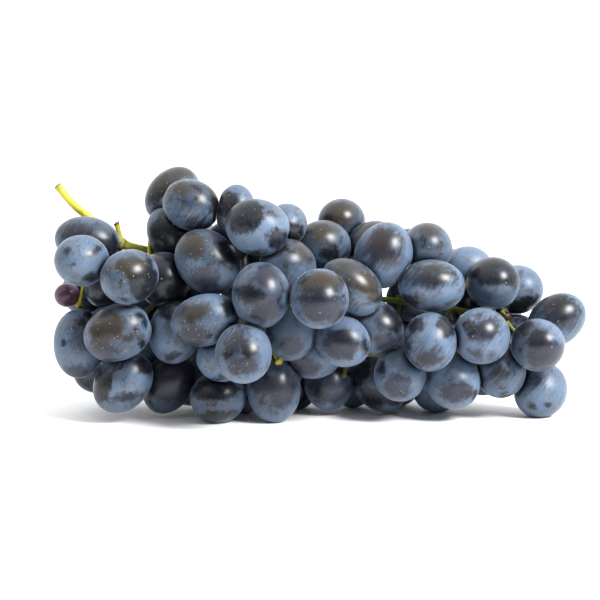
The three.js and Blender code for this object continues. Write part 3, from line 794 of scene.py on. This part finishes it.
def skin_fields(berry, berries, points, chance):
    outward = ball_points @ np.array([*across_axes(berry.axis), berry.axis])
    fields = {kind: np.full(len(points), UNMARKED) for kind in MARK_KINDS}
    for kind, depth in [*seen_marks(berry, points, outward), *random_marks(berry, outward, chance)]:
        fields[kind] = np.maximum(fields[kind], depth)
    tone = BLOOM_TONES_AND_SHADE.get(berry.name, 0) + chance.uniform(-TONE_VARIATION, TONE_VARIATION)
    fields["tone"] = np.full(len(points), tone)
    # How near the next berries lie: the bloom is thinned there, partly as real rubbing and partly as painted
    # shade in the crevices
    fields["pressed"] = pressed(berry, berries, points)
    fields["tip"] = np.arccos(np.clip(ball_points[:, 2], -1, 1)) * berry.short
    return fields


def mesh_piece(name, points, faces, fields, material):
    mesh = bpy.data.meshes.new(name)
    mesh.from_pydata(to_frame(points).tolist(), [], [list(map(int, face)) for face in faces])
    for field, values in fields.items():
        mesh.attributes.new(field, "FLOAT", "POINT").data.foreach_set("value", np.asarray(values, "f"))
    mesh.polygons.foreach_set("use_smooth", [True] * len(mesh.polygons))
    mesh.materials.append(material)
    mesh.update()
    return add_object(name, mesh)


def berry_piece(group, berries, material):
    points, faces, fields = [], [], []
    for index, berry in enumerate(berries):
        if berry.group == group:
            chance = random.Random(RANDOM_SEED + index)
            skin = skin_points(berry, berries, chance)
            faces.append(ball_faces + sum(len(part) for part in points))
            points.append(skin)
            fields.append(skin_fields(berry, berries, skin, chance))
    joined = {field: np.concatenate([part[field] for part in fields]) for field in fields[0]}
    piece = mesh_piece(f"{group}_fine", np.concatenate(points), np.concatenate(faces), joined, material)
    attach(piece, "root")
    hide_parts(group)


# The fine stem

def sweep(path, radii, sides, fields):
    """A closed tube along a path, its end faces slightly domed."""
    path = np.asarray(path)
    ahead = np.gradient(path, axis=0)
    ahead /= np.linalg.norm(ahead, axis=1)[:, None]
    side, _ = across_axes(ahead[0])
    rings = []
    for point, way, radius in zip(path, ahead, radii):
        side = unit(side - way * (side @ way))
        up = np.cross(way, side)
        turns = [2 * math.pi * k / sides for k in range(sides)]
        rings += [point + radius * (side * math.cos(t) + up * math.sin(t)) for t in turns]
    first = path[0] - ahead[0] * radii[0] * END_DOME
    last = path[-1] + ahead[-1] * radii[-1] * END_DOME
    points = np.array([*rings, first, last])
    faces = []
    for row in range(len(path) - 1):
        for k in range(sides):
            a, b = row * sides + k, row * sides + (k + 1) % sides
            faces.append((a, b, b + sides, a + sides))
    start, end, last_row = len(rings), len(rings) + 1, (len(path) - 1) * sides
    for k in range(sides):
        faces.append((start, (k + 1) % sides, k))
        faces.append((end, last_row + k, last_row + (k + 1) % sides))
    spread = {}
    for name, values in fields.items():
        values = np.asarray(values, float)
        spread[name] = np.concatenate([np.repeat(values, sides), values[:1], values[-1:]])
    return points, faces, spread


def swelling(run, middle, amount_and_reach):
    """What a swelling or a brown place adds along a stem."""
    amount, reached = amount_and_reach
    return amount * np.exp(-((run - middle) / reached) ** 2)


def along(path):
    steps = np.linalg.norm(np.diff(path, axis=0), axis=1)
    return np.concatenate([[0], np.cumsum(steps)])


def main_stem():
    """The bare stalk, its swollen node and the rachis, which grows thinner, and darker inside as painted
    shade.
    """
    path = curve_samples(stem_route, STALK_STEPS)
    run = along(path)
    node = run[np.argmin(np.linalg.norm(path - points_seen(STUB)[0], axis=1))]
    radii = STALK_RADIUS + STALK_WIDENING * np.clip(run / node, 0, 1)
    radii = radii + swelling(run, node, NODE_SWELLING) + swelling(run, 0, STALK_CUT)
    radii = radii * (1 - RACHIS_TAPER * np.clip((run - node) / (run[-1] - node), 0, 1))
    brown = swelling(run, 0, STALK_CUT_BROWN) + swelling(run, node + NODE_BROWN_OFFSET, NODE_BROWN)
    inner_shade = np.clip((run - node - DARK_START) / DARK_LENGTH, 0, 1)
    return sweep(path, radii, STALK_SIDES, {"brown": brown, "inner_shade": inner_shade})


def stub():
    """The cut stub at the node, with a lip at its cut."""
    foot, top = points_seen(STUB)
    path = curve_samples([foot, top, top + np.array(STUB_LEAN)], STUB_STEPS)
    run = along(path)
    radii = STUB_RADIUS + swelling(run, 0, STUB_FOOT) + swelling(run, run[-1], STUB_CUT)
    fields = {"brown": swelling(run, run[-1], STUB_CUT_BROWN), "inner_shade": np.zeros(len(path))}
    return sweep(path, radii, STUB_SIDES, fields)


def pedicel(route, shade, most_brown):
    """A pedicel with a swollen end at its berry."""
    path = curve_samples(route, PEDICEL_STEPS)
    run = along(path)
    radii = PEDICEL_CORE + swelling(run, run[-1], PEDICEL_HEAD) + swelling(run, 0, PEDICEL_FOOT)
    brown = swelling(run, run[-1], (most_brown, PEDICEL_BROWN_REACH))
    return sweep(path, radii, THIN_SIDES, {"brown": brown, "inner_shade": np.full(len(path), shade)})


def lateral(root, hub):
    path = curve_samples([root, (root + hub) / 2, hub], LATERAL_STEPS)
    plain = np.ones(len(path))
    return sweep(path, plain * LATERAL_RADIUS, THIN_SIDES, {"brown": plain * 0, "inner_shade": plain})


def is_clear(start, end, radius, berries):
    """Whether a straight stalk passes between the berries."""
    for i in range(STEM_CHECKS + 1):
        point = start + (end - start) * (i / STEM_CHECKS)
        for berry in berries:
            way = point - berry.centre
            distance = math.sqrt(way @ way)
            if distance < berry.long * berry.allowance + radius + GAP:
                if distance < reach(berry, way / distance) * berry.allowance + radius + GAP:
                    return False
    return True


def group_stems(berries):
    """A lateral to each node of berries and a pedicel to each berry that it reaches freely."""
    for group in dict.fromkeys(berry.group for berry in berries):
        own = [berry for berry in berries if berry.group == group]
        middle = sum(berry.centre for berry in own) / len(own)
        root = nearest(rachis_samples, middle)
        hub = root + (middle - root) * LATERAL_SHARE
        if is_clear(root, hub, LATERAL_RADIUS, berries):
            yield lateral(root, hub)
        else:
            hub = root
        for berry in own:
            others = [other for other in berries if other is not berry]
            end = berry.centre - berry.axis * (berry.long * berry.allowance + GAP)
            if is_clear(hub, end, PEDICEL_RADIUS, others):
                sunk_end = berry.centre - berry.axis * (berry.long - PEDICEL_SUNK)
                yield pedicel([hub, (hub + end) / 2, sunk_end], HIDDEN_PEDICEL_SHADE, HIDDEN_PEDICEL_BROWN)


def stem_piece(berries, material):
    parts = [main_stem(), stub()]
    for route in SHOWN_PEDICELS:
        parts.append(pedicel(points_seen(route), 0, SHOWN_PEDICEL_BROWN))
    for shade, most_brown, route in PEDICEL_ENDS:
        parts.append(pedicel([np.array(point) - CENTRING for point in route], shade, most_brown))
    parts += group_stems(berries)
    points, faces, count = [], [], 0
    for part_points, part_faces, _ in parts:
        faces += [[index + count for index in face] for face in part_faces]
        count += len(part_points)
        points.append(part_points)
    fields = {name: np.concatenate([part[2][name] for part in parts]) for name in ("brown", "inner_shade")}
    piece = mesh_piece("stem_fine", np.concatenate(points), faces, fields, material)
    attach(piece, "root")
    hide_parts("stem")


# Materials

def srgb(red, green, blue):
    def linear(value):
        value /= 255
        return value / 12.92 if value <= 0.04045 else ((value + 0.055) / 1.055) ** 2.4
    return (linear(red), linear(green), linear(blue), 1)


class Shades:
    """Short names for the nodes of one material."""

    def __init__(self, name):
        self.material = bpy.data.materials.new(name)
        self.material.use_nodes = True
        self.tree = self.material.node_tree
        self.shader = self.tree.nodes["Principled BSDF"]
        self.place = self.node("ShaderNodeTexCoord").outputs["Object"]

    def node(self, kind, **settings):
        node = self.tree.nodes.new(kind)
        for name, value in settings.items():
            setattr(node, name, value)
        return node

    def feed(self, socket, value):
        if isinstance(value, bpy.types.NodeSocket):
            self.tree.links.new(value, socket)
        else:
            socket.default_value = value

    def surface(self, name, value):
        self.feed(self.shader.inputs[name], value)

    def math(self, operation, *values, clamp=False):
        node = self.node("ShaderNodeMath", operation=operation, use_clamp=clamp)
        for socket, value in zip(node.inputs, values):
            self.feed(socket, value)
        return node.outputs[0]

    def field(self, name):
        return self.node("ShaderNodeAttribute", attribute_name=name).outputs["Fac"]

    def stretched(self, turn, stretch):
        node = self.node("ShaderNodeMapping", vector_type="TEXTURE")
        self.feed(node.inputs["Vector"], self.place)
        node.inputs["Rotation"].default_value = turn
        node.inputs["Scale"].default_value = stretch
        return node.outputs[0]

    def around(self, value, middle, spread):
        """A value between 0 and 1, moved and spread evenly around a middle."""
        return self.math("MULTIPLY_ADD", value, spread, middle - spread / 2)

    def noise(self, size_mm, detail, roughness=0.5, warp=0.0, place=None):
        node = self.node("ShaderNodeTexNoise")
        self.feed(node.inputs["Vector"], place or self.place)
        node.inputs["Scale"].default_value = 1000 / size_mm
        node.inputs["Detail"].default_value = detail
        node.inputs["Roughness"].default_value = roughness
        node.inputs["Distortion"].default_value = warp
        return node.outputs["Fac"]

    def step(self, value, low, high, bottom=0.0, top=1.0):
        node = self.node("ShaderNodeMapRange", interpolation_type="SMOOTHSTEP")
        for socket, number in zip(node.inputs, (value, low, high, bottom, top)):
            self.feed(socket, number)
        return node.outputs[0]

    def mix(self, share, one, other):
        node = self.node("ShaderNodeMix", data_type="RGBA")
        self.feed(node.inputs[0], share)
        self.feed(node.inputs[6], one)
        self.feed(node.inputs[7], other)
        return node.outputs[2]

    def blend(self, share, one, other):
        node = self.node("ShaderNodeMix", data_type="FLOAT")
        self.feed(node.inputs[0], share)
        self.feed(node.inputs[2], one)
        self.feed(node.inputs[3], other)
        return node.outputs[0]

    def bump(self, height, distance_mm):
        node = self.node("ShaderNodeBump")
        node.inputs["Distance"].default_value = distance_mm / 1000
        self.feed(node.inputs["Height"], height)
        self.surface("Normal", node.outputs[0])


SKIN_COLOURS = {
    "bloom": srgb(80, 101, 126),
    "dusty": srgb(95, 107, 124),
    "bare": srgb(7, 7, 11),
    # grey and olive are the skin in rubbed marks, tinted purple-grey as a painted reflection of the floor and
    # olive-brown as a painted reflection of the light above
    "grey": srgb(23, 20, 30),
    "olive": srgb(38, 31, 19),
    "speck": srgb(166, 156, 126),
    "scar": srgb(104, 84, 66),
}
RED_COLOURS = dict(
    SKIN_COLOURS,
    bloom=srgb(104, 82, 108),
    dusty=srgb(108, 88, 104),
    bare=srgb(56, 28, 42),
    # The red berry's grey skin is tinted as a painted reflection of the floor
    grey=srgb(62, 36, 50),
)

# Noises: size in mm, detail, roughness and warp
CLOUDS = (9, 3, 0.55)
MOTTLE = (5, 6, 0.6, 0.5)
RAGS = (3.2, 7, 0.66)
DUST = (0.5, 3, 0.6)
FILM = (1.2, 5, 0.7)
FLECKS = (1.1, 4, 0.6)
SCRATCHES = (0.7, 4, 0.6)
SCRATCH_TURN = (0, math.radians(35), 0)
SCRATCH_STRETCH = (1, 5, 16)

# How thick full bloom is, and how much the noises and a berry's tone change it
FULL_BLOOM = 0.9
CLOUDS_IN_BLOOM = 0.7
DUST_IN_BLOOM = 0.5
TONE_IN_BLOOM = 0.6

# How far, in mm, the noises move the edge of a mark
RAGS_AT_EDGE = 6.5
DUST_AT_EDGE = 1.6
SCRATCHES_AT_EDGE = 12.0

# Steps: the values where something starts and where it is whole, and how strong it is at both
FILM_RUBBED = (0.36, 0.64, 0.86, 1.0)
MOTTLED_WEAR = (0.5, 0.72, 0.0, 0.45)
RAGGED_WEAR = (0.63, 0.72, 0.0, 0.75)
SCRATCHED_WEAR = (0.45, 0.7, 0.0, 0.22)
FLECK_WEAR = (0.56, 0.66)
FLECKS_AT_SPECKS = (-3.0, 2.0, 0.12, 0.75)
# Where the skin lies within a few mm of the next berry the bloom is thinned: partly real rubbing at the
# contact, partly painted shade that darkens the crevices between the berries
PRESSED_WEAR_AND_SHADE = (-2.6, -0.2, 0.0, 0.9)
THIN_WEAR = (-2.5, 3.0, 0.0, 0.5)
BARE_WEAR = (-0.8, 1.2, 0.0, 0.98)
GREY_WEAR = (-1.0, 1.8, 0.0, 0.86)
OLIVE_WEAR = (-1.6, 2.2, 0.0, 0.88)
STREAKED_WEAR = (-2.4, 2.6, 0.0, 0.85)
SKIN_SHOWN = (-1.5, 1.0)
STREAKED_SKIN_SHOWN = (-1.5, 1.0, 0.0, 0.6)
DUSTY_SHOWN = (0.35, 0.65)
SCAR_SHOWN = (0.52, 0.34)
SPECK_SHOWN = (0.17, 0.06)
SPECK_CROWD = (-4.0, 2.0)

# Specks: spacing in mm, the share of them that shows outside and inside the marks for specks,
# how strong they are, and their colour
SPECKS = [
    (0.95, 0.08, 0.5, 0.5, "dusty"),
    (1.5, 0.07, 0.7, 0.8, "speck"),
]

# The surface of bare skin and of full bloom
BARE_GLOSS = 0.3
BLOOM_GLOSS = 0.44
BARE_SHEEN = 0.1
BLOOM_SHEEN = 0.46
SHEEN_ROUGHNESS = 0.2
SHEEN_TINT = (0.78, 0.87, 1, 1)
SKIN_IOR = 1.4
SKIN_BUMP = 0.05
BLOOM_RISE = 0.5
DUST_RISE = 0.12


def specks(skin, spacing_mm, few, many):
    """Small round specks, few of them all over and many in the marks for specks."""
    dots = skin.node("ShaderNodeTexVoronoi")
    skin.feed(dots.inputs["Vector"], skin.place)
    dots.inputs["Scale"].default_value = 1000 / spacing_mm
    chosen = skin.node("ShaderNodeSeparateColor")
    skin.feed(chosen.inputs[0], dots.outputs["Color"])
    crowd = skin.step(skin.field("specks"), *SPECK_CROWD, few, many)
    shown = skin.math("LESS_THAN", chosen.outputs[0], crowd)
    return skin.math("MULTIPLY", skin.step(dots.outputs["Distance"], *SPECK_SHOWN), shown)


def berry_skin(name, colours):
    """Waxy bloom over dark glossy skin, worn thin or rubbed off in marks with ragged edges, thinned next to
    the other berries as real rubbing and painted shade in the crevices, with grey and olive skin tinted as
    painted reflections.
    """
    skin = Shades(name)
    mottle = skin.noise(*MOTTLE)
    rags = skin.noise(*RAGS)
    dust = skin.noise(*DUST)
    film = skin.step(skin.noise(*FILM), *FILM_RUBBED)
    scratches = skin.noise(*SCRATCHES, place=skin.stretched(SCRATCH_TURN, SCRATCH_STRETCH))
    edge = skin.math("ADD", skin.around(rags, 0, RAGS_AT_EDGE), skin.around(dust, 0, DUST_AT_EDGE))
    scratched_edge = skin.math("ADD", edge, skin.around(scratches, 0, SCRATCHES_AT_EDGE))

    def mark(kind, step, rim=edge):
        return skin.step(skin.math("ADD", skin.field(kind), rim), *step)

    bloom = skin.around(skin.noise(*CLOUDS), FULL_BLOOM, CLOUDS_IN_BLOOM)
    bloom = skin.math("ADD", bloom, skin.math("MULTIPLY", skin.field("tone"), TONE_IN_BLOOM))
    bloom = skin.math("ADD", bloom, skin.around(dust, 0, DUST_IN_BLOOM))
    bloom = skin.math("SUBTRACT", bloom, skin.step(mottle, *MOTTLED_WEAR))
    bloom = skin.math("SUBTRACT", bloom, mark("thin", THIN_WEAR), clamp=True)
    # Each of these thins the bloom; the pressed one does so next to the other berries, which paints shade
    # into the crevices
    for wear_and_shade in (
        mark("bare", BARE_WEAR),
        mark("grey", GREY_WEAR),
        mark("olive", OLIVE_WEAR),
        mark("streaked", STREAKED_WEAR, scratched_edge),
        skin.step(rags, *RAGGED_WEAR),
        skin.step(scratches, *SCRATCHED_WEAR),
        skin.math("MULTIPLY", skin.step(skin.noise(*FLECKS), *FLECK_WEAR),
                  skin.step(skin.field("specks"), *FLECKS_AT_SPECKS)),
        skin.step(skin.field("pressed"), *PRESSED_WEAR_AND_SHADE),
    ):
        rubbed_and_shaded = skin.math("MULTIPLY", wear_and_shade, film)
        bloom = skin.math("MULTIPLY", bloom, skin.math("SUBTRACT", 1.0, rubbed_and_shaded))

    # Skin under the bloom: near black where bare; the grey and olive tints are painted reflections of the
    # floor below and of the light above
    under = skin.mix(mark("grey", SKIN_SHOWN), colours["bare"], colours["grey"])
    under = skin.mix(mark("olive", SKIN_SHOWN), under, colours["olive"])
    under = skin.mix(mark("streaked", STREAKED_SKIN_SHOWN), under, colours["grey"])
    wax = skin.mix(skin.step(mottle, *DUSTY_SHOWN), colours["bloom"], colours["dusty"])
    colour = skin.mix(bloom, under, wax)
    for spacing, few, many, strength, shade in SPECKS:
        shown = skin.math("MULTIPLY", specks(skin, spacing, few, many), strength)
        colour = skin.mix(shown, colour, colours[shade])
    colour = skin.mix(skin.step(skin.field("tip"), *SCAR_SHOWN), colour, colours["scar"])

    skin.surface("Base Color", colour)
    skin.surface("Roughness", skin.blend(bloom, BARE_GLOSS, BLOOM_GLOSS))
    skin.surface("Sheen Weight", skin.blend(bloom, BARE_SHEEN, BLOOM_SHEEN))
    skin.surface("Sheen Roughness", SHEEN_ROUGHNESS)
    skin.surface("Sheen Tint", SHEEN_TINT)
    skin.surface("IOR", SKIN_IOR)
    height = skin.math("MULTIPLY", bloom, BLOOM_RISE)
    height = skin.math("ADD", height, skin.math("MULTIPLY", dust, DUST_RISE))
    skin.bump(height, SKIN_BUMP)
    return skin.material


STEM_COLOURS = {
    "young": srgb(188, 180, 48),
    "old": srgb(142, 148, 34),
    # The darker green and the darker cut colour inside the bunch are painted shade
    "inner_shade": srgb(70, 84, 20),
    "lenticel": srgb(120, 86, 40),
    "cut": srgb(112, 60, 34),
    "shaded_cut": srgb(50, 40, 20),
}
STEM_CLOUDS = (5, 3)
STEM_GRAIN = (0.6, 4, 0.65)
LENTICELS = (0.9, 2)
AGEING = (0.35, 0.7)
LENTICELS_SHOWN = (0.66, 0.72, 0.0, 0.5)
INNER_SHADE_STRENGTH = 0.8
BROWN_GRAIN = 0.5
BROWN_SHOWN = (0.2, 0.7)
STEM_GLOSS = (0.4, 0.6)
STEM_BUMP = 0.12


def stem_skin():
    """Fresh green, finely rough stem, darker inside the bunch as painted shade, and brown at its node and
    cuts.
    """
    skin = Shades("stem_skin")
    colours = STEM_COLOURS
    grain = skin.noise(*STEM_GRAIN)
    inner_shade = skin.field("inner_shade")
    green = skin.mix(skin.step(skin.noise(*STEM_CLOUDS), *AGEING), colours["young"], colours["old"])
    green = skin.mix(skin.math("MULTIPLY", inner_shade, INNER_SHADE_STRENGTH), green, colours["inner_shade"])
    green = skin.mix(skin.step(skin.noise(*LENTICELS), *LENTICELS_SHOWN), green, colours["lenticel"])
    worn = skin.math("ADD", skin.field("brown"), skin.around(grain, 0, BROWN_GRAIN))
    cut = skin.mix(inner_shade, colours["cut"], colours["shaded_cut"])
    skin.surface("Base Color", skin.mix(skin.step(worn, *BROWN_SHOWN), green, cut))
    skin.surface("Roughness", skin.blend(grain, *STEM_GLOSS))
    skin.bump(grain, STEM_BUMP)
    return skin.material


PAPER_CLOUDS = (400, 2)
PAPER_COLOURS = ((0.9, 0.9, 0.91, 1), (0.93, 0.93, 0.935, 1))
PAPER_ROUGHNESS = 0.7
PAPER_GLOSS = 0.2


def floor_paper():
    paper = Shades("floor_paper")
    paper.surface("Base Color", paper.mix(paper.noise(*PAPER_CLOUDS), *PAPER_COLOURS))
    paper.surface("Roughness", PAPER_ROUGHNESS)
    paper.surface("Specular IOR Level", PAPER_GLOSS)
    return paper.material


# The stage and the light, in metres

FLOOR_REACH = 40
SOFTBOX_PLACE = (0.62, -0.5, 0.66)
SOFTBOX_TARGET = (0, 0, 0.05)
SOFTBOX_SIZE = 0.36
SOFTBOX_WATTS = 22

# The way that the studio is brightest, then where along it the light starts and stops to grow,
# and its strength at both
BRIGHT_WAY = (0, 0.7, 0.9)
STUDIO_RANGE = (-0.35, 0.6, 0.05, 1.8)


def make_floor():
    mesh = bpy.data.meshes.new("floor")
    corners = [(-1, -1), (1, -1), (1, 1), (-1, 1)]
    mesh.from_pydata([(x * FLOOR_REACH, y * FLOOR_REACH, 0) for x, y in corners], [], [(0, 1, 2, 3)])
    mesh.materials.append(floor_paper())
    floor = add_object("floor", mesh)


def make_surroundings():
    """A white studio, darker low down on the side where the camera stands."""
    world = bpy.data.worlds.new("studio")
    bpy.context.scene.world = world
    world.use_nodes = True
    tree = world.node_tree
    lean = tree.nodes.new("ShaderNodeVectorMath")
    lean.operation = "DOT_PRODUCT"
    tree.links.new(tree.nodes.new("ShaderNodeTexCoord").outputs["Generated"], lean.inputs[0])
    lean.inputs[1].default_value = BRIGHT_WAY
    lift = tree.nodes.new("ShaderNodeMapRange")
    tree.links.new(lean.outputs["Value"], lift.inputs["Value"])
    for socket, number in zip(list(lift.inputs)[1:5], STUDIO_RANGE):
        socket.default_value = number
    tree.links.new(lift.outputs[0], tree.nodes["Background"].inputs["Strength"])
    tree.nodes["Background"].inputs["Color"].default_value = (1, 1, 1, 1)


def make_softbox():
    data = bpy.data.lights.new("softbox", "AREA")
    data.shape = "SQUARE"
    data.size = SOFTBOX_SIZE
    data.energy = SOFTBOX_WATTS
    light = add_object("softbox", data)
    light.location = SOFTBOX_PLACE
    way = np.array(SOFTBOX_TARGET) - np.array(SOFTBOX_PLACE)
    pitch = math.atan2(math.hypot(way[0], way[1]), -way[2])
    light.rotation_euler = (pitch, 0, math.atan2(way[1], way[0]) - math.pi / 2)


make_camera()
bpy.context.scene.view_settings.view_transform = "Standard"
make_surroundings()
make_floor()
make_softbox()

berries = make_berries()
dark_skin = berry_skin("berry_skin", SKIN_COLOURS)
red_skin = berry_skin("berry_red_skin", RED_COLOURS)
for group in dict.fromkeys(berry.group for berry in berries):
    if group == "berry_small_red":
        berry_piece(group, berries, red_skin)
    else:
        berry_piece(group, berries, dark_skin)
stem_piece(berries, stem_skin())
